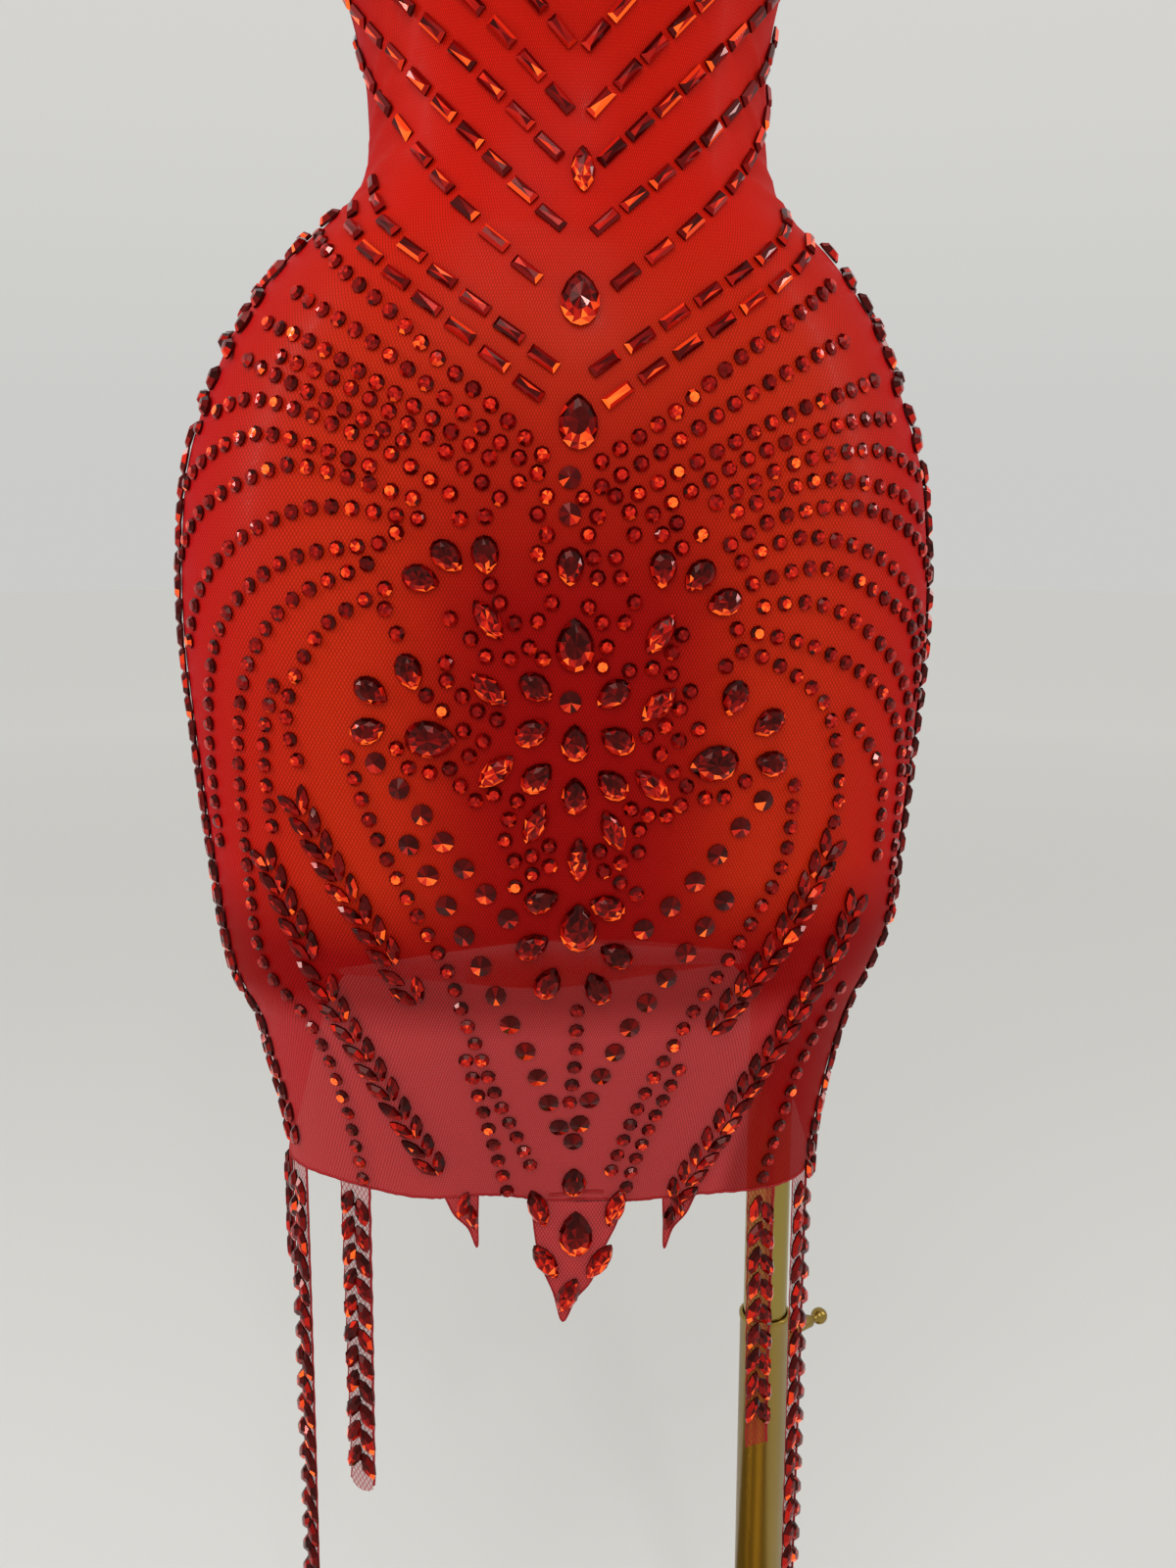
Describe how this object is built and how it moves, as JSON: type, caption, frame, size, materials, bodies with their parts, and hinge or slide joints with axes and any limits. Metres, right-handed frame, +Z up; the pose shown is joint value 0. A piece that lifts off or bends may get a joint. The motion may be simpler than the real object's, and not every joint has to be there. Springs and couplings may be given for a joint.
{
  "type": "crystal mesh dress on a dress form with stand",
  "caption": "Sleeveless red net mini dress with sewn crystal rows and loose strips at the hem, on a limbless dress form with a telescopic brass stand.",
  "frame": {"origin": "on the floor, at the centre of the round base plate's underside", "axes": "+Z up, the front of the dress faces -Y, +X is to the right of someone who looks at the front"},
  "size_m": [0.42, 0.42, 1.4999],
  "materials": {
    "red_mesh": "sheer red stretch net with sewn crystals",
    "form_shell": "glossy tan shell",
    "stand_brass": "polished"
  },
  "bodies": {
    "stand": {"base_plate": "stand_brass", "base_flange": "stand_brass", "stand_tube": "stand_brass", "screw_boss": "stand_brass"},
    "mast": {"stand_mast": "stand_brass"},
    "form": {"form_torso": "form_shell", "dress_front": "red_mesh", "dress_back": "red_mesh", "tail_outer_left": "red_mesh", "tail_long_left": "red_mesh", "tail_second_left": "red_mesh", "tail_long_right": "red_mesh", "tail_far_right": "red_mesh", "point_left": "red_mesh", "point_centre": "red_mesh", "point_right": "red_mesh"},
    "screw": {"clamp_screw": "stand_brass"}
  },
  "joints": [
    {"name": "height_slide", "type": "slide", "parent": "stand", "child": "mast", "axis": [0, 0, 1], "range_m": [-0.06, 0.2]},
    {"name": "form_swivel", "type": "hinge", "parent": "mast", "child": "form", "pos_m": [0.1255, 0.024, 0.69], "axis": [0, 0, 1], "continuous": true},
    {"name": "clamp_screw_turn", "type": "hinge", "parent": "stand", "child": "screw", "pos_m": [0.1255, 0.024, 0.352], "axis": [0.829, 0.5592, 0], "continuous": true}
  ]
}
